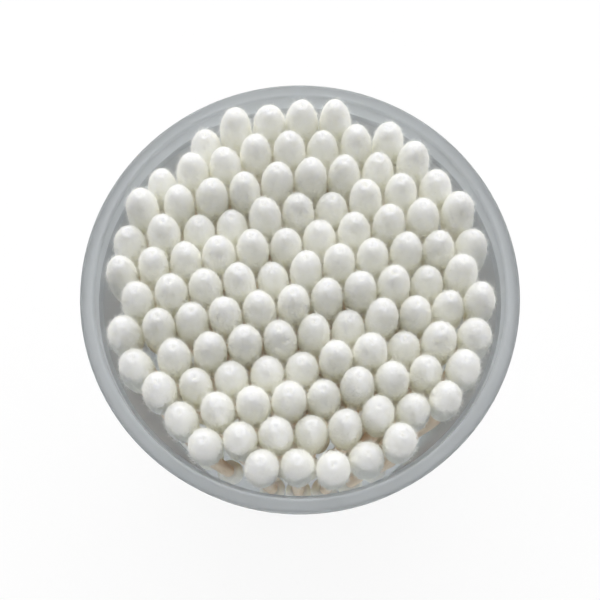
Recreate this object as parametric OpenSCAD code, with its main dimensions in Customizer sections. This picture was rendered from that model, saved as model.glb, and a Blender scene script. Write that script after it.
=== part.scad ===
// A round frosted tub packed upright with double-ended cotton swabs on wooden sticks.
// Z = 0 is the surface that the tub stands on, and the Z axis is the tub's own axis.
// The swabs stand crowded together, a little proud of the rim, and bow to the far side, +Y.

/* [Tub] */
// Outside diameter of the rim
rim_d = 66; // [62:0.5:84]
// Width of the rim's top, from its outside to the mouth
rim_w = 2.15; // [1.8:0.05:3.5]
// Height of the rim's outer face
rim_h = 4.8; // [3:0.1:7]
// Height of the tub
tub_h = 73; // [70:0.5:90]
// Thickness of the side wall
wall_t = 0.9; // [0.7:0.05:1.1]
// Depth of the lid seat inside the mouth
seat_h = 4.2; // [2:0.1:8]
// Step from the lid seat in to the wall
seat_step = 0.55; // [0.3:0.05:1]
// Draft of the side wall, in degrees
draft = 0.5; // [0.25:0.05:1]
// Thickness of the floor
floor_t = 1.3; // [0.8:0.1:2]
// Height of the foot ring under the floor
foot_h = 1.2; // [0.8:0.1:2]
// Width of the flat that the foot ring stands on
foot_w = 1.4; // [1:0.1:4]
// Radius of the rim's rounded edges, and of the corner under it
rim_round = 0.55; // [0.3:0.05:0.9]
// Radius of the corner round the base, outside and in
base_round = 1.5; // [0.5:0.1:2]

/* [Swabs] */
// Length of a swab from tip to tip
swab_len = 73; // [66:0.5:74]
// Diameter of the wooden stick
stick_d = 2.3; // [1.8:0.05:2.8]
// Diameter of a bud at its widest, where its neighbours leave it room
bud_d = 5.35; // [4.6:0.05:6.2]
// Length of a bud along the stick
bud_len = 14; // [11:0.5:17]
// Distance from a bud's tip to its widest part
bud_belly = 6.6; // [4:0.1:7]
// Thickness of the cotton where it ends on the stick
bud_neck = 0.45; // [0.2:0.05:0.8]
// Cotton beyond the end of the stick
bud_cap = 2.6; // [1.5:0.1:4]
// Depth of the dimple that the winding leaves in the tip
tip_dimple = 0.35; // [0.2:0.05:0.8]
// Fullness of the tip, where 2 is an ellipse
tip_fullness = 2.3; // [1.8:0.1:3]

/* [Packing] */
// Least gap between neighbours
swab_gap = 0.05; // [0.05:0.05:0.4]
// Pitch of the first lattice, as a share of a bud's diameter and gap
crowding = 0.97; // [0.9:0.01:1.1]
// Turn of the first lattice, in degrees
lattice_turn = 9; // [0:1:60]
// Farthest that a swab is first shaken out of line
shake = 1.2; // [0:0.1:2]
// Farthest that a tall swab is held above the floor by its neighbours
lift = 2.6; // [0:0.1:3]
// Room that the upper buds leave at the far side
far_slack = 0.8; // [0:0.1:1.5]
// Bow of a stick towards the far side, from its straight stretch to its upper end, in degrees
bow = 12.5; // [6:0.5:13]
// The same of a stick that stands at the near side
near_bow = 6; // [4:0.5:7]
// Largest change of the bow from swab to swab, in degrees
bow_scatter = 1.5; // [0:0.1:3]
// Height above a swab's lower tip at which its stick starts to bow
bow_z = 43; // [30:1:46]
// Turn of the bow towards the middle, for swabs at the left and right, in degrees
bow_fan = 28; // [0:1:30]
// Seed of the scatter
seed = 3; // [1:1:99]

/* [Hidden] */
$fn = 64;
// Corners on each rounded edge, and rings along a bud's tip and tail
round_steps = 6;
tip_steps = 6;
tail_steps = 5;
// The crowd of swabs settles in rounds of passes: each round looks up every swab's neighbours,
// within so many pitches, and each pass takes out a share of every overlap
settle_rounds = 3;
settle_passes = 20;
settle_share = 0.36;
watch = 1.5;
// Place of the first lattice's origin, in pitches
lattice_origin = [0.25, 0.45];
// The first lattice reaches this many pitches past the room for the swabs' axes
lattice_reach = 0.3;
// The bow falls off towards the near side by this power of the way across
bow_fade = 3;
// Largest change of the bow's bearing from swab to swab, in degrees
bearing_scatter = 9;
// Gap between the lowest tips and the floor
foot_gap = 0.03;
// The swabs are grouped into this many rows across the tub
row_count = 12;

rim_r = rim_d / 2;
mouth_r = rim_r - rim_w;
wall_r = mouth_r - seat_step;
floor_z = foot_h + floor_t;
seat_z = tub_h - seat_h;
rim_z = tub_h - rim_h;
// Radius of the inside at a height: the wall drafts from the lid seat down
function wall_in(z) = z >= seat_z ? mouth_r : wall_r - (seat_z - z) * tan(draft);
base_r = wall_in(0) + wall_t;
foot_r = base_r - base_round - foot_w;
under_rim_r = wall_r + wall_t;

neck_to_belly = bud_len - bud_belly;

ROWS = [for (k = [1:row_count]) str(k < 10 ? "0" : "", k)];

function total(list, k = 0) = k == len(list) ? [0, 0] : list[k] + total(list, k + 1);
function bearing_of(angle) = [cos(angle), sin(angle)];

// Points of an arc about c, from angle a to angle b
function arc(c, r, a, b) = [for (k = [0:round_steps]) c + r * bearing_of(a + (b - a) * k / round_steps)];

// A stick bows along an arc: its length, and its angle at the upper bud's belly
bow_path = swab_len - bud_cap - bow_z;
belly_share = (swab_len - bud_belly - bow_z) / bow_path;
function bow_r(a) = bow_path * 180 / (PI * a);

// Sideways and upright place, from the lower tip, of a point on the bow at the angle t
function on_bow(a, t) = [bow_r(a) * (1 - cos(t)), bow_z + bow_r(a) * sin(t)];

// The tail of a bud is part of an ellipse: this is its half-length for a bud of radius r
function tail_reach(r) = neck_to_belly / sqrt(1 - pow((stick_d / 2 + bud_neck) / r, 2));

// Half of a bud's outline, from the dimple in its tip to its neck
function bud_outline(r) = concat(
    [[0, tip_dimple]],
    [for (k = [1:tip_steps]) let(x = sin(90 * k / tip_steps))
        [r * x, bud_belly * (1 - pow(1 - pow(x, tip_fullness), 1 / tip_fullness))]],
    [for (k = [1:tail_steps]) let(u = neck_to_belly * k / tail_steps)
        [r * sqrt(1 - pow(u / tail_reach(r), 2)), bud_belly + u]],
    [[0, bud_len]]);

// A leaning bud reaches farther sideways than its radius: past the belly to the far side, and along
// the tail to the near side. So the room for the upper buds' axes is smaller, and lies off centre.
function most_lean(bow) = (bow + bow_scatter) * belly_share;
function lean_out(reach, lean) = norm([bud_d / 2, reach * sin(lean)]) - bud_d / 2;
belly_z = floor_z + swab_len - bud_belly;
far_room = min(wall_in(belly_z),
    wall_in(belly_z + bud_belly / 3) - lean_out(bud_belly, most_lean(bow))) - far_slack;
near_room = wall_in(belly_z - neck_to_belly) - lean_out(tail_reach(bud_d / 2), most_lean(near_bow));
upper_room = (far_room + near_room) / 2 - swab_gap - bud_d / 2;
upper_centre = [0, (far_room - near_room) / 2];
lower_room = wall_in(floor_z + bud_belly) - swab_gap - bud_d / 2;

// First places: a turned hexagonal lattice, cut to the tub and shaken
pitch = (bud_d + swab_gap) * crowding;
lattice_n = ceil(upper_room / pitch) + 2;
function lattice_point(i, j) = let(
    p = pitch * ([i + (abs(j) % 2) / 2, j * sqrt(3) / 2] + lattice_origin),
    x = bearing_of(lattice_turn)) p[0] * x + p[1] * [-x[1], x[0]];
lattice = [for (j = [-lattice_n:lattice_n], i = [-lattice_n:lattice_n])
    let(p = lattice_point(i, j)) if (norm(p) < upper_room + lattice_reach * pitch) p];
count = len(lattice);
swabs = [0:count - 1];
function scatter(amount, s) = let(v = rands(-amount, amount, 2 * count, s))
    [for (i = swabs) [v[2 * i], v[2 * i + 1]]];
function neighbours(places) = [for (i = swabs) [for (k = swabs)
    if (k != i && norm(places[i] - places[k]) < watch * pitch) k]];

// Each pass moves crowded swabs apart and holds all of them inside a circle
function held(p, room) = norm(p) > room ? p * room / norm(p) : p;
function away(p, q) = let(v = p - q, d = norm(v), reach = bud_d + swab_gap)
    d < reach ? v * (reach / d - 1) : [0, 0];
function pushed(places, near, room, passes) = passes == 0 ? places : pushed(
    [for (i = swabs) held(places[i]
        + settle_share * total([for (k = near[i]) away(places[i], places[k])]), room)],
    near, room, passes - 1);
function settled(places, room, rounds) = rounds == 0 ? places :
    settled(pushed(places, neighbours(places), room, settle_passes), room, rounds - 1);
upper_places = settled(lattice + scatter(shake, seed), upper_room, settle_rounds);
lower_places = settled(upper_places * (lower_room / upper_room) + scatter(shake, seed + 1),
    lower_room, settle_rounds);

// Buds give way to their neighbours: each takes half of its least gap, and then again half of what
// is left. A lean brings the axes closer together than they are in plan.
function half_gap(places, near, r, lean, i) =
    min([for (k = near[i]) norm(places[i] - places[k]) * cos(lean) - r[i] - r[k] - swab_gap]) / 2;
function grown(places, near, r, lean) =
    [for (i = swabs) min(bud_d / 2, r[i] + half_gap(places, near, r, lean, i))];
function bud_sizes(places, lean) = let(near = neighbours(places), none = [for (i = swabs) 0])
    grown(places, near, grown(places, near, none, lean), lean);
upper_r = bud_sizes(upper_places, most_lean(bow));
lower_r = bud_sizes(lower_places, 0);

// How far each swab is lifted, and the size and bearing of its bow
lifts = [for (u = rands(0, 1, count, seed + 2)) lift * (1 - pow(u, 3))];
function nearness(i) = (1 - upper_places[i][1] / upper_room) / 2;
bow_changes = rands(-bow_scatter, bow_scatter, count, seed + 3);
bows = [for (i = swabs) bow + (near_bow - bow) * pow(nearness(i), bow_fade) + bow_changes[i]];
turns = rands(-bearing_scatter, bearing_scatter, count, seed + 4);
bearings = [for (i = swabs) 90 + bow_fan * upper_places[i][0] / upper_room + turns[i]];

// Way of a swab's straight stretch, and its lower tip, so that both bellies reach their places
function way(i) = let(
    b = on_bow(bows[i], bows[i] * belly_share),
    rise = b[1] - bud_belly,
    lean = bows[i] * belly_share - atan(b[0] / rise),
    across = upper_centre + upper_places[i] - lower_places[i]
        + bearing_of(bearings[i]) * (lifts[i] * tan(lean) - b[0]))
    [across[0], across[1], rise] / norm([across[0], across[1], rise]);
function foot(i) = let(w = way(i), p = lower_places[i])
    [p[0] - bud_belly * w[0] / w[2], p[1] - bud_belly * w[1] / w[2], floor_z + foot_gap + lifts[i]];

// A swab belongs to a row by the place of its upper bud across the tub
function row_of(i) = min(row_count - 1, floor((1 - nearness(i)) * row_count));
function in_row(r) = [for (i = swabs) if (row_of(i) == r) i];

module tub() {
    color([0.72, 0.74, 0.75, 0.8]) rotate_extrude($fn = 128) tub_section();
}

// Half of the tub's section: underside, outer wall, rim, lid seat, inner wall and floor
module tub_section() {
    polygon(concat(
        [[0, foot_h], [foot_r, foot_h], [foot_r, 0]],
        arc([base_r - base_round, base_round], base_round, -90, 0),
        arc([under_rim_r + rim_round, rim_z - rim_round], rim_round, 180, 90),
        arc([rim_r - rim_round, rim_z + rim_round], rim_round, -90, 0),
        arc([rim_r - rim_round, tub_h - rim_round], rim_round, 0, 90),
        arc([mouth_r + rim_round, tub_h - rim_round], rim_round, 90, 180),
        [[mouth_r, seat_z], [wall_r, seat_z - seat_step]],
        arc([wall_in(floor_z) - base_round, floor_z + base_round], base_round, 0, -90),
        [[0, floor_z]]));
}

// Stands its children on a swab's lower tip, upright along its stick and bowing towards +X
module at_swab(i) {
    w = way(i);
    turn = atan2(w[1], w[0]);
    translate(foot(i)) rotate([0, acos(w[2]), turn]) rotate(bearings[i] - turn) children();
}

// A stick: straight from inside the lower bud, then bowed up to its end inside the upper bud
module stick(i) {
    r = bow_r(bows[i]);
    color("burlywood") {
        translate([0, 0, bud_cap]) cylinder(d = stick_d, h = bow_z - bud_cap);
        translate([r, 0, bow_z]) rotate([90, 0, 180])
            rotate_extrude(angle = bows[i]) translate([r, 0]) circle(d = stick_d);
    }
}

// The cotton of a bud, with its tip at the origin and its neck up
module cotton(r) {
    color("ivory") rotate_extrude() polygon(bud_outline(r));
}

module lower_bud(i) {
    difference() {
        cotton(lower_r[i]);
        stick(i);
    }
}

// The upper bud has its belly on the bow, in line with the stick there
module upper_bud(i) {
    t = bows[i] * belly_share;
    b = on_bow(bows[i], t);
    difference() {
        translate([b[0], 0, b[1]]) rotate([180, t, 0]) translate([0, 0, -bud_belly]) cotton(upper_r[i]);
        stick(i);
    }
}

module sticks_row(r) {
    for (i = in_row(r)) at_swab(i) stick(i);
}

module upper_buds_row(r) {
    for (i = in_row(r)) at_swab(i) upper_bud(i);
}

module lower_buds_row(r) {
    for (i = in_row(r)) at_swab(i) lower_bud(i);
}

tub();
for (r = [0:row_count - 1]) {
    sticks_row(r);
    upper_buds_row(r);
    lower_buds_row(r);
}
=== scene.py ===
"""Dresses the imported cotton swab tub: frosted plastic, birch sticks and wound cotton buds.

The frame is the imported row's: +Z up the tub's axis, +Y to the far side in the photograph. Lengths are
in metres, names in _PX are pixels of the photograph, and names in _DEG or _deg are angles in degrees.
"""

import math

import bpy
import numpy as np
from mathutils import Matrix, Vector, noise


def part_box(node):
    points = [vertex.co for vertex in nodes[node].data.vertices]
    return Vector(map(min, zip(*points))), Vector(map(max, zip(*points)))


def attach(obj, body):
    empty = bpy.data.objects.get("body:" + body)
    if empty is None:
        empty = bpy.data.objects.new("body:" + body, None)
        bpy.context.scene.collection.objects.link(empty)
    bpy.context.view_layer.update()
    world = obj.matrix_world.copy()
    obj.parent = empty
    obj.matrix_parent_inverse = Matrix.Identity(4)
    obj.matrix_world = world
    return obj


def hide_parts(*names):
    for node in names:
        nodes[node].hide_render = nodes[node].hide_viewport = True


MM = 0.001
BODY = "root"

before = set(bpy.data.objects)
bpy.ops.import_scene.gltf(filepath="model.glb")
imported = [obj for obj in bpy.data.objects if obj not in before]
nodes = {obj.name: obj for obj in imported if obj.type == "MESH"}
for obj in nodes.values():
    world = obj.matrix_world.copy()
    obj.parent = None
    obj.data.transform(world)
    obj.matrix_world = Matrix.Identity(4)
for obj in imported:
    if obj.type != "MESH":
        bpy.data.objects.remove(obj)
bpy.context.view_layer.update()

TUB_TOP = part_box("tub")[1].z
RIM_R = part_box("tub")[1].x

# The camera stands nearly over the mouth, so the rim hides the tub's outside as in the photograph
PHOTO_PX = 600
RIM_SPAN_PX = 442
SENSOR = 36 * MM
CAMERA_ELEVATION_DEG = 77
CAMERA_DISTANCE = 158 * MM
# The near half of the rim looks larger than the far half, so the camera aims short of the centre
CAMERA_AIM_Y = -1.7 * MM
CAMERA_CLIP = 10 * MM

# The world lights the tub like a tent with a dim side, towards the near side: the height of its
# middle, the cosines from there between which it fades, and the strengths outside and inside
TENT_DIM_SIDE_DEG = 35
TENT_FADE = (-0.1, 0.68)
TENT_LIGHT = 1.3
TENT_DIM = 0.0
# Light between packed white buds bounces on for long
LIGHT_BOUNCES = 32

# The floor lies just under the foot ring. To the eye its glow takes this share, and its shade the rest
FLOOR_HALF = 3.0
FLOOR_Z = -0.05 * MM
FLOOR_GLOW = 1.03
FLOOR_GLOW_SHARE = 0.88

# A bud's outline, as in the frame. The neck is where it ends on the stick
BUD_LENGTH = 14 * MM
BUD_BELLY = 6.6 * MM
NECK_R = 1.6 * MM
NECK_HOLE_R = 1.0 * MM
NECK_INSET = 0.1 * MM
TIP_FULLNESS = 2.3

# Mesh density: points round a bud, and rings on its tip and on its tail
UPPER_SIDES = 40
UPPER_STEPS = (16, 12)
LOWER_SIDES = 28
LOWER_STEPS = (10, 8)
WELD = 0.001 * MM

# Hand-wound differences between buds
LUMP_HEIGHT = 0.11 * MM
LUMP_SIZE = 2.6 * MM
RIPPLE_HEIGHT = 0.035 * MM
RIPPLE_SIZE = 0.8 * MM
CRATER_R = 0.68 * MM
CRATER_HEIGHT = 0.2 * MM
CRATER_SHARES = (0.0, 0.3, 0.8, 1.3)
DIMPLE_R = 0.36 * MM
DIMPLE_DEPTH = (0.15 * MM, 0.7 * MM)
FOLD_DEPTH = 0.07 * MM
FOLD_COUNT = (3, 7)
FOLD_TWIST = (-3, 3)
SEAM_HEIGHT = 0.05 * MM
SEAM_WIDTH = 0.22 * MM
SEAM_START = 1.2 * MM
SEAM_TWIST = (-2.5, 2.5)
OUT_OF_ROUND = 0.018
# Each bud takes its lumps from another place in the noise
NOISE_SHIFT = (-40, 40)
# The shell is set in by this, so that its lumps stay about the CAD bud's surface
SET_IN = 0.04 * MM
# The relief fades in over this length at the seam's start and fades out over it at the neck
FADE_LENGTH = 2 * MM
NECK_CALM = 0.15
# The relief stands off the tail no more aslant than this
STEEPEST_TAIL = -0.4
SEED = 7

# Loose fibres on an upper bud, down to the reach and clear of the tip's middle. They run round the
# bud, with up to the slant along it, and stand off it by the lift
FLUFF_COUNT = 1400
FLUFF_REACH = 10.5 * MM
FLUFF_LENGTH = (0.4 * MM, 1.1 * MM)
FLUFF_WIDTH = 0.025 * MM
FLUFF_ROOT = 0.03 * MM
FLUFF_CLEAR_R = 0.9 * MM
FLUFF_SLANT = 0.7
FLUFF_LIFT = (0.0, 0.7)
FLUFF_CURL = (-0.3, 0.5)

ROW_COUNT = 12


def new_material(name):
    material = bpy.data.materials.new(name)
    material.use_nodes = True
    tree = material.node_tree
    shader = tree.nodes["Principled BSDF"]
    return material, tree, shader


def add_node(tree, kind, **inputs):
    node = tree.nodes.new(kind)
    for name, value in inputs.items():
        node.inputs[name.replace("_", " ")].default_value = value
    return node


def noise_of(tree, vector, scale, detail=3.0, roughness=0.55):
    texture = add_node(tree, "ShaderNodeTexNoise", Scale=scale, Detail=detail, Roughness=roughness)
    tree.links.new(vector, texture.inputs["Vector"])
    return texture.outputs["Fac"]


def mapped(tree, vector, scale=(1, 1, 1), turn_deg=(0, 0, 0)):
    mapping = tree.nodes.new("ShaderNodeMapping")
    mapping.inputs["Scale"].default_value = scale
    mapping.inputs["Rotation"].default_value = [math.radians(a) for a in turn_deg]
    tree.links.new(vector, mapping.inputs["Vector"])
    return mapping.outputs["Vector"]


def ramp(tree, value, stops):
    node = tree.nodes.new("ShaderNodeValToRGB")
    node.color_ramp.elements.remove(node.color_ramp.elements[1])
    for k, (place, colour) in enumerate(stops):
        stop = node.color_ramp.elements[0] if k == 0 else node.color_ramp.elements.new(place)
        stop.position = place
        stop.color = (*colour, 1)
    tree.links.new(value, node.inputs["Fac"])
    return node.outputs["Color"]


def bump(tree, height, distance, strength=1.0, below=None):
    node = add_node(tree, "ShaderNodeBump", Strength=strength, Distance=distance)
    tree.links.new(height, node.inputs["Height"])
    if below is not None:
        tree.links.new(below, node.inputs["Normal"])
    return node.outputs["Normal"]


def cotton_material():
    """Bleached cotton wool: fibres wound round the bud, soft lumps, light that soaks in."""
    material, tree, shader = new_material("wound_cotton")
    wound = add_node(tree, "ShaderNodeAttribute")
    wound.attribute_name = "wound"
    along = add_node(tree, "ShaderNodeAttribute")
    along.attribute_name = "along"
    place = wound.outputs["Vector"]
    fibres = noise_of(tree, mapped(tree, place, (0.5, 0.5, 8), (9, 0, 0)), 1.0, 5)
    crossing = noise_of(tree, mapped(tree, place, (0.8, 0.8, 13), (-16, 11, 0)), 1.0, 4)
    tufts = noise_of(tree, place, 1.1, 4)
    normal = bump(tree, tufts, 0.10 * MM, 0.5)
    normal = bump(tree, fibres, 0.035 * MM, 0.7, normal)
    normal = bump(tree, crossing, 0.02 * MM, 0.7, normal)
    tree.links.new(normal, shader.inputs["Normal"])
    white = ramp(tree, tufts, [(0.30, (0.95, 0.952, 0.925)), (0.62, (0.98, 0.982, 0.957))])
    # Warmer and darker over the tail half towards the neck: partly the stick showing through the thinner
    # cotton at the neck, partly painted warm shade for the tails that sit deep between the buds
    neck_tint_and_painted_shade = ramp(tree, along.outputs["Fac"], [(0.5, (1, 1, 1)), (1.0, (0.99, 0.96, 0.89))])
    tinted = tree.nodes.new("ShaderNodeMix")
    tinted.data_type = "RGBA"
    tinted.blend_type = "MULTIPLY"
    tinted.inputs["Factor"].default_value = 1
    tree.links.new(white, tinted.inputs[6])
    tree.links.new(neck_tint_and_painted_shade, tinted.inputs[7])
    tree.links.new(tinted.outputs[2], shader.inputs["Base Color"])
    shader.inputs["Roughness"].default_value = 0.95
    shader.inputs["Specular IOR Level"].default_value = 0.0
    shader.inputs["Subsurface Weight"].default_value = 1.0
    shader.inputs["Subsurface Radius"].default_value = (1.0, 0.98, 0.85)
    shader.inputs["Subsurface Scale"].default_value = 5 * MM
    shader.inputs["Sheen Weight"].default_value = 1.0
    shader.inputs["Sheen Roughness"].default_value = 0.5
    shader.inputs["Sheen Tint"].default_value = (1, 0.985, 0.9, 1)
    return material


def fluff_material():
    """Single cotton fibres, too thin for light to soak in."""
    material, tree, shader = new_material("cotton_fluff")
    place = add_node(tree, "ShaderNodeTexCoord").outputs["Object"]
    colour = ramp(tree, noise_of(tree, place, 900, 2), [
        (0.3, (0.93, 0.925, 0.89)), (0.7, (0.98, 0.98, 0.955))])
    tree.links.new(colour, shader.inputs["Base Color"])
    shader.inputs["Roughness"].default_value = 0.9
    shader.inputs["Specular IOR Level"].default_value = 0.1
    return material


def wood_material():
    """Plain turned birch: fine grain along the stick, small dark pores."""
    material, tree, shader = new_material("birch_stick")
    place = add_node(tree, "ShaderNodeTexCoord").outputs["Object"]
    grain = noise_of(tree, mapped(tree, place, (1400, 1400, 60)), 1.0, 5, 0.6)
    bands = noise_of(tree, mapped(tree, place, (240, 240, 9)), 1.0, 2)
    mixed = tree.nodes.new("ShaderNodeMath")
    mixed.operation = "MULTIPLY_ADD"
    mixed.inputs[1].default_value = 0.5
    tree.links.new(grain, mixed.inputs[0])
    half = tree.nodes.new("ShaderNodeMath")
    half.operation = "MULTIPLY"
    half.inputs[1].default_value = 0.5
    tree.links.new(bands, half.inputs[0])
    tree.links.new(half.outputs[0], mixed.inputs[2])
    colour = ramp(tree, mixed.outputs[0], [
        (0.32, (0.70, 0.55, 0.40)), (0.45, (0.84, 0.71, 0.55)), (0.60, (0.90, 0.79, 0.65))])
    tree.links.new(colour, shader.inputs["Base Color"])
    tree.links.new(bump(tree, grain, 0.03 * MM, 0.6), shader.inputs["Normal"])
    shader.inputs["Roughness"].default_value = 0.7
    return material


def plastic_material():
    """Frosted polypropylene: light passes through and spreads, so the swabs show as soft shapes."""
    material, tree, shader = new_material("frosted_plastic")
    place = add_node(tree, "ShaderNodeTexCoord").outputs["Object"]
    cloud = noise_of(tree, place, 60, 3)
    matting = noise_of(tree, place, 5200, 2)
    flow = noise_of(tree, mapped(tree, place, (120, 120, 14)), 1.0, 3)
    colour = ramp(tree, cloud, [(0.3, (0.57, 0.595, 0.61)), (0.7, (0.62, 0.645, 0.66))])
    tree.links.new(colour, shader.inputs["Base Color"])
    rough = tree.nodes.new("ShaderNodeMapRange")
    rough.inputs["To Min"].default_value = 0.57
    rough.inputs["To Max"].default_value = 0.7
    tree.links.new(flow, rough.inputs["Value"])
    tree.links.new(rough.outputs["Result"], shader.inputs["Roughness"])
    normal = bump(tree, flow, 0.08 * MM, 0.25)
    tree.links.new(bump(tree, matting, 0.01 * MM, 0.6, normal), shader.inputs["Normal"])
    shader.inputs["IOR"].default_value = 1.49
    shader.inputs["Transmission Weight"].default_value = 0.86
    shader.inputs["Specular IOR Level"].default_value = 0.3
    return material


def tip_profile(radius, steps_tip, steps_tail):
    """Distances from the tip and radii of a bud's rings, from beside the axis to the neck."""
    x = np.sin(np.linspace(0, math.pi / 2, steps_tip + 1)[1:])
    tip_r = radius * x
    tip_t = BUD_BELLY * (1 - (1 - x ** TIP_FULLNESS) ** (1 / TIP_FULLNESS))
    tail = BUD_LENGTH - BUD_BELLY
    reach = tail / math.sqrt(1 - (NECK_R / radius) ** 2)
    u = tail * np.linspace(0, 1, steps_tail + 1)[1:]
    tail_r = radius * np.sqrt(1 - (u / reach) ** 2)
    return np.concatenate([tip_t, BUD_BELLY + u]), np.concatenate([tip_r, tail_r])


def welded(mesh):
    """Places of a CAD mesh's vertices, each once, and its triangles."""
    places = np.empty(len(mesh.vertices) * 3)
    mesh.vertices.foreach_get("co", places)
    places = places.reshape(-1, 3)
    mesh.calc_loop_triangles()
    triangles = np.empty(len(mesh.loop_triangles) * 3, int)
    mesh.loop_triangles.foreach_get("vertices", triangles)
    _, first, same = np.unique(np.round(places / WELD), axis=0, return_index=True,
                               return_inverse=True)
    return places[first], same.ravel()[triangles].reshape(-1, 3)


def islands(triangles, count):
    """Lists of triangles that hang together."""
    label = np.arange(count)
    while True:
        lowest = label.copy()
        np.minimum.at(lowest, triangles.ravel(), np.repeat(label[triangles].min(axis=1), 3))
        lowest = lowest[lowest]
        if (lowest == label).all():
            break
        label = lowest
    owner = label[triangles[:, 0]]
    return [triangles[owner == k] for k in np.unique(owner)]


def main_axis(centres, weights):
    """Centroid and longest direction of weighted points."""
    middle = np.average(centres, axis=0, weights=weights)
    offsets = centres - middle
    spread = (offsets * weights[:, None]).T @ offsets
    return middle, np.linalg.eigh(spread)[1][:, 2]


def measure_bud(places, triangles, up):
    """Tip, axis from tip to neck, and radius of one CAD bud."""
    corners = places[triangles]
    centres = corners.mean(axis=1)
    normals = np.cross(corners[:, 1] - corners[:, 0], corners[:, 2] - corners[:, 0])
    areas = np.linalg.norm(normals, axis=1) / 2
    middle, axis = main_axis(centres, areas)
    sideways = (centres - middle) - np.outer((centres - middle) @ axis, axis)
    outer = (sideways * normals).sum(axis=1) > 0
    middle, axis = main_axis(centres[outer], areas[outer])
    if (axis[2] > 0) == up:
        axis = -axis
    used = places[np.unique(triangles)] - middle
    heights = used @ axis
    tip = middle + axis * heights.min()
    radius = np.linalg.norm(used - np.outer(heights, axis), axis=1).max()
    return tip, axis, radius


def side_axes(axis):
    """Two directions across an axis, the first one near +X."""
    first = np.array([1.0, 0, 0]) - axis * axis[0]
    first /= np.linalg.norm(first)
    return first, np.cross(axis, first)


def tip_relief(r, angle, draw):
    """How far the wound-off tip stands out: a crater, its dimple and the folds that run into it."""
    crater = draw["crater"] * CRATER_HEIGHT * np.exp(-((r - CRATER_R) / (0.55 * CRATER_R)) ** 2)
    dimple = draw["dimple"] * np.exp(-(r / DIMPLE_R) ** 2)
    swirl = np.cos(draw["folds"] * angle + draw["twist"] * r / CRATER_R + draw["phase"])
    folds = FOLD_DEPTH * np.exp(-((r - 0.7 * CRATER_R) / CRATER_R) ** 2) * (0.5 + 0.5 * swirl)
    return crater - dimple - folds


def seam_relief(r, t, angle, draw):
    """The faint spiral ridge where the end of the cotton web is laid down."""
    around = (angle - draw["seam"] - draw["pitch"] * t / BUD_LENGTH + math.pi) % (2 * math.pi) - math.pi
    fade = np.clip((t - SEAM_START) / FADE_LENGTH, 0, 1)
    return SEAM_HEIGHT * fade * np.exp(-(around * r / SEAM_WIDTH) ** 2)


def lumps(points, size, shift):
    """Smooth noise from -1 to 1 at each point."""
    return np.array([noise.noise(Vector(p / size) + shift) for p in points])


def fluff(grid, normal, around, along, reach, rng):
    """Vertices and faces of thin bent fibres rooted on a bud's rings, as far down as reach."""
    rings, sides = grid.shape[:2]
    last = np.searchsorted(reach, FLUFF_REACH)
    girth = np.linalg.norm(grid[:last] - grid[:last].mean(axis=1, keepdims=True), axis=2).mean(axis=1)
    share = girth * np.hypot(np.gradient(reach[:last]), np.gradient(girth)) * (girth > FLUFF_CLEAR_R)
    ring = rng.choice(last, FLUFF_COUNT, p=share / share.sum())
    side = rng.integers(0, sides, FLUFF_COUNT)
    part = rng.random((FLUFF_COUNT, 1))
    beyond = (side + 1) % sides
    root = grid[ring, side] * (1 - part) + grid[ring, beyond] * part
    out = normal[ring, side]
    each = (FLUFF_COUNT, 1)
    way = around[ring, side] * rng.choice([-1, 1], each) * rng.uniform(0.5, 1, each)
    way += along * rng.uniform(-FLUFF_SLANT, FLUFF_SLANT, each) + out * rng.uniform(*FLUFF_LIFT, each)
    way /= np.linalg.norm(way, axis=1, keepdims=True)
    length = rng.uniform(*FLUFF_LENGTH, each)
    half = np.cross(way, rng.normal(size=(FLUFF_COUNT, 3)))
    half *= FLUFF_WIDTH / 2 / np.linalg.norm(half, axis=1, keepdims=True)
    root = root - out * FLUFF_ROOT
    bend = root + way * length / 2
    end = bend + (way + out * rng.uniform(*FLUFF_CURL, each)) * length / 2
    points = np.stack([root - half, root + half, bend + half, bend - half, end], axis=1).reshape(-1, 3)
    first = 5 * np.arange(FLUFF_COUNT)
    faces = [(k, k + 1, k + 2, k + 3) for k in first] + [(k + 3, k + 2, k + 4) for k in first]
    return points, faces


def draw_bud(rng):
    """What differs from bud to bud: sizes, counts, and angles in radians."""
    return {
        "crater": rng.choice(CRATER_SHARES),
        "dimple": rng.uniform(*DIMPLE_DEPTH),
        "folds": rng.integers(*FOLD_COUNT),
        "twist": rng.uniform(*FOLD_TWIST),
        "phase": rng.uniform(0, 2 * math.pi),
        "seam": rng.uniform(0, 2 * math.pi),
        "pitch": rng.uniform(*SEAM_TWIST),
        "flat": rng.uniform(0, math.pi),
        "shift": Vector(rng.uniform(*NOISE_SHIFT, 3)),
    }


def outline_slope(t, r):
    """How fast the radius grows along a bud's outline, at each ring."""
    travelled = np.cumsum(np.hypot(np.diff(t, prepend=0), np.diff(r, prepend=0)))
    return np.gradient(np.concatenate([[0], r]), np.concatenate([[0], travelled]))[1:]


def bud_relief(local, r_grid, t_grid, a_grid, draw):
    """How far the wound cotton stands off the bud's outline, at each point of its rings."""
    calm = np.clip((BUD_LENGTH - t_grid) / FADE_LENGTH, NECK_CALM, 1)
    height = LUMP_HEIGHT * lumps(local, LUMP_SIZE, draw["shift"])
    height += RIPPLE_HEIGHT * lumps(local, RIPPLE_SIZE, draw["shift"])
    height += OUT_OF_ROUND * r_grid * np.cos(2 * (a_grid - draw["flat"]))
    height = (height - SET_IN) * calm
    height += tip_relief(r_grid, a_grid, draw) * (t_grid < BUD_BELLY)
    height += seam_relief(r_grid, t_grid, a_grid, draw) * calm
    return height


def ring_faces(rings, sides):
    """Faces over rings of points, closed by the first point at the tip and the last at the neck."""
    last = 1 + (rings - 1) * sides
    end = last + sides
    faces = [(0, 1 + (k + 1) % sides, 1 + k) for k in range(sides)]
    for start in range(1, last, sides):
        for k in range(sides):
            after = (k + 1) % sides
            faces.append((start + k, start + after, start + sides + after, start + sides + k))
    faces += [(last + k, last + (k + 1) % sides, end) for k in range(sides)]
    return faces


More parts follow.
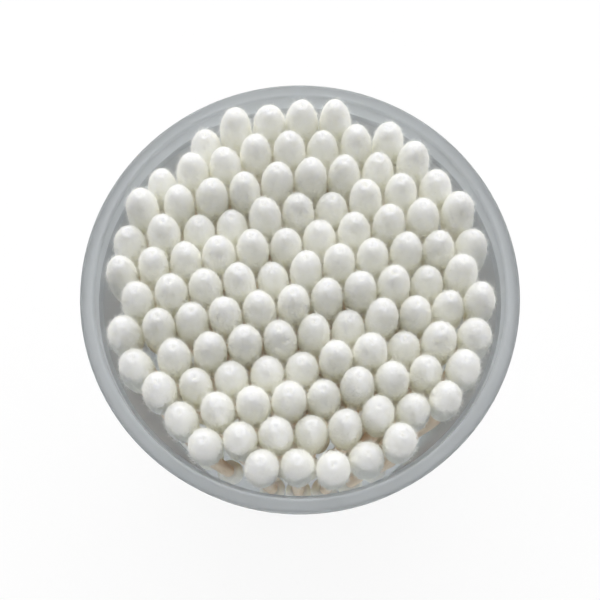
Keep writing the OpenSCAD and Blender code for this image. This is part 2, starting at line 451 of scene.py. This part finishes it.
def bud_mesh(tip, axis, radius, rng, sides, steps, fluffy):
    """Vertices, faces and how many of them are wound, place in the cotton and share of the length."""
    draw = draw_bud(rng)
    t, r = tip_profile(radius, *steps)
    angle = np.linspace(0, 2 * math.pi, sides, endpoint=False)
    t_grid = np.repeat(t, sides)
    r_grid = np.repeat(r, sides)
    a_grid = np.tile(angle, len(t))
    first, second = side_axes(axis)
    outward = np.outer(np.cos(a_grid), first) + np.outer(np.sin(a_grid), second)
    base = tip + np.outer(t_grid, axis) + outward * r_grid[:, None]
    # The outline's own normal, which turns from the axis at the tip to straight out at the belly
    facing = np.repeat(np.clip(outline_slope(t, r), STEEPEST_TAIL, 1), sides)
    out_share = np.sqrt(1 - facing ** 2)
    normal = outward * out_share[:, None] - np.outer(facing, axis)
    local = np.stack([np.cos(a_grid) * r_grid, np.sin(a_grid) * r_grid, t_grid], axis=1)
    shell = base + normal * bud_relief(local, r_grid, t_grid, a_grid, draw)[:, None]
    tip_point = tip + axis * (draw["dimple"] + 0.5 * FOLD_DEPTH)
    neck = tip + axis * (BUD_LENGTH - NECK_INSET)
    lip = neck + outward[:sides] * NECK_HOLE_R
    points = np.concatenate([[tip_point], shell, lip, [neck]])
    faces = ring_faces(len(t) + 1, sides)
    local_lip = np.stack([np.cos(angle), np.sin(angle), np.full(sides, BUD_LENGTH / NECK_HOLE_R)],
                         axis=1) * NECK_HOLE_R
    local = np.concatenate([[[0, 0, 0]], local, local_lip, [[0, 0, BUD_LENGTH]]])
    wound_faces = len(faces)
    if fluffy:
        grid = (len(t), sides, 3)
        around = np.cross(axis, outward)
        loose, loose_faces = fluff(shell.reshape(grid), normal.reshape(grid), around.reshape(grid),
                                   axis, t, rng)
        faces += [tuple(len(points) + v for v in face) for face in loose_faces]
        points = np.concatenate([points, loose])
        local = np.concatenate([local, np.zeros_like(loose)])
    wound = local / MM + np.array(draw["shift"])
    return points, faces, wound_faces, wound, local[:, 2] / BUD_LENGTH


def cotton_row(name, node, up, rng, sides, steps, materials):
    """One piece for a row of buds, each where the CAD bud of the node is. Upper buds are fluffy."""
    places, triangles = welded(nodes[node].data)
    points, faces, kinds, wound, along = [], [], [], [], []
    count = 0
    for island in islands(triangles, len(places)):
        tip, axis, radius = measure_bud(places, island, up)
        p, f, wound_faces, w, a = bud_mesh(tip, axis, radius, rng, sides, steps, up)
        points.append(p)
        faces += [tuple(count + v for v in face) for face in f]
        kinds += [0] * wound_faces + [1] * (len(f) - wound_faces)
        wound.append(w)
        along.append(a)
        count += len(p)
    mesh = bpy.data.meshes.new(name)
    mesh.from_pydata(np.concatenate(points).tolist(), [], faces)
    mesh.attributes.new("wound", "FLOAT_VECTOR", "POINT").data.foreach_set(
        "vector", np.concatenate(wound).ravel())
    mesh.attributes.new("along", "FLOAT", "POINT").data.foreach_set("value", np.concatenate(along))
    mesh.shade_smooth()
    for material in materials:
        mesh.materials.append(material)
    mesh.polygons.foreach_set("material_index", kinds)
    piece = bpy.data.objects.new(name, mesh)
    bpy.context.scene.collection.objects.link(piece)
    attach(piece, BODY)
    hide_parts(node)
    return piece


def dress_cad(node, material):
    """Gives a carried-over CAD node its finish."""
    mesh = nodes[node].data
    mesh.materials.clear()
    mesh.materials.append(material)


def seen_rays(tree):
    """A factor that is 1 for camera, glossy and transmission rays, else 0."""
    path = tree.nodes.new("ShaderNodeLightPath")
    seen = path.outputs["Is Camera Ray"]
    for other in ("Is Glossy Ray", "Is Transmission Ray"):
        most = tree.nodes.new("ShaderNodeMath")
        most.operation = "MAXIMUM"
        tree.links.new(seen, most.inputs[0])
        tree.links.new(path.outputs[other], most.inputs[1])
        seen = most.outputs[0]
    return seen


def build_floor():
    """A white floor that stays white in the picture and keeps a light shadow."""
    mesh = bpy.data.meshes.new("floor")
    corners = [(x * FLOOR_HALF, y * FLOOR_HALF, FLOOR_Z) for x, y in ((-1, -1), (1, -1), (1, 1), (-1, 1))]
    mesh.from_pydata(corners, [], [(0, 1, 2, 3)])
    material, tree, shader = new_material("white_floor")
    shader.inputs["Base Color"].default_value = (0.9, 0.9, 0.9, 1)
    shader.inputs["Roughness"].default_value = 0.9
    shader.inputs["Specular IOR Level"].default_value = 0
    glow = add_node(tree, "ShaderNodeEmission", Strength=FLOOR_GLOW)
    mix = tree.nodes.new("ShaderNodeMixShader")
    output = tree.nodes["Material Output"]
    share = tree.nodes.new("ShaderNodeMath")
    share.operation = "MULTIPLY"
    share.inputs[1].default_value = FLOOR_GLOW_SHARE
    tree.links.new(seen_rays(tree), share.inputs[0])
    tree.links.new(share.outputs[0], mix.inputs["Fac"])
    tree.links.new(shader.outputs["BSDF"], mix.inputs[1])
    tree.links.new(glow.outputs["Emission"], mix.inputs[2])
    tree.links.new(mix.outputs["Shader"], output.inputs["Surface"])
    mesh.materials.append(material)
    floor = bpy.data.objects.new("floor", mesh)
    bpy.context.scene.collection.objects.link(floor)


def build_world():
    """White to the eye. It lights the object like a bright tent with a dim near side."""
    world = bpy.data.worlds.new("studio")
    world.use_nodes = True
    tree = world.node_tree
    background = tree.nodes["Background"]
    background.inputs["Color"].default_value = (1, 1, 1, 1)
    way = add_node(tree, "ShaderNodeTexCoord").outputs["Generated"]
    towards = tree.nodes.new("ShaderNodeVectorMath")
    towards.operation = "DOT_PRODUCT"
    towards.inputs[1].default_value = way_from(-90, TENT_DIM_SIDE_DEG)
    tree.links.new(way, towards.inputs[0])
    level = tree.nodes.new("ShaderNodeMapRange")
    level.interpolation_type = "SMOOTHSTEP"
    level.inputs["From Min"].default_value = TENT_FADE[0]
    level.inputs["From Max"].default_value = TENT_FADE[1]
    level.inputs["To Min"].default_value = TENT_LIGHT
    level.inputs["To Max"].default_value = TENT_DIM
    tree.links.new(towards.outputs["Value"], level.inputs["Value"])
    strength = tree.nodes.new("ShaderNodeMix")
    tree.links.new(seen_rays(tree), strength.inputs["Factor"])
    tree.links.new(level.outputs["Result"], strength.inputs["A"])
    strength.inputs["B"].default_value = 1
    tree.links.new(strength.outputs["Result"], background.inputs["Strength"])
    bpy.context.scene.world = world


def way_from(azimuth_deg, elevation_deg):
    """Unit direction. Azimuth 0 is +X and 90 is +Y, the far side."""
    azimuth, elevation = math.radians(azimuth_deg), math.radians(elevation_deg)
    return Vector((math.cos(azimuth) * math.cos(elevation), math.sin(azimuth) * math.cos(elevation),
                   math.sin(elevation)))


def soft_lamp(name, azimuth_deg, elevation_deg, distance, size, power):
    """A square soft light aimed at the tub's mouth."""
    data = bpy.data.lights.new(name, "AREA")
    data.shape = "SQUARE"
    data.size = size
    data.energy = power
    lamp = bpy.data.objects.new(name, data)
    way = way_from(azimuth_deg, elevation_deg)
    lamp.location = Vector((0, 0, TUB_TOP)) + way * distance
    lamp.rotation_euler = way.to_track_quat("Z", "Y").to_euler()
    bpy.context.scene.collection.objects.link(lamp)


def build_camera():
    """Aims at the rim from the near side, with the rim as large as in the photograph."""
    data = bpy.data.cameras.new("camera")
    data.sensor_width = SENSOR / MM
    data.lens = SENSOR / MM * RIM_SPAN_PX / PHOTO_PX * CAMERA_DISTANCE / (2 * RIM_R)
    data.clip_start = CAMERA_CLIP
    camera = bpy.data.objects.new("camera", data)
    way = way_from(-90, CAMERA_ELEVATION_DEG)
    camera.location = Vector((0, CAMERA_AIM_Y, TUB_TOP)) + way * CAMERA_DISTANCE
    camera.rotation_euler = way.to_track_quat("Z", "Y").to_euler()
    bpy.context.scene.collection.objects.link(camera)
    bpy.context.scene.camera = camera


build_camera()
build_world()
build_floor()
soft_lamp("far_light", azimuth_deg=90, elevation_deg=45, distance=0.6, size=0.5, power=2.0)
# This one lights the frosted wall from the side, and the swabs through it
soft_lamp("near_light", azimuth_deg=-90, elevation_deg=1, distance=0.6, size=0.12, power=1.4)

cotton = [cotton_material(), fluff_material()]
wood = wood_material()
dress_cad("tub", plastic_material())
rng = np.random.default_rng(SEED)
for number in range(1, ROW_COUNT + 1):
    row = "%02d" % number
    dress_cad("sticks_row_" + row, wood)
    cotton_row("upper_cotton_row_" + row, "upper_buds_row_" + row, True, rng, UPPER_SIDES, UPPER_STEPS,
               cotton)
    cotton_row("lower_cotton_row_" + row, "lower_buds_row_" + row, False, rng, LOWER_SIDES, LOWER_STEPS,
               cotton[:1])

bpy.context.scene.cycles.max_bounces = LIGHT_BOUNCES
bpy.context.scene.cycles.diffuse_bounces = LIGHT_BOUNCES
bpy.context.scene.view_settings.view_transform = "Standard"
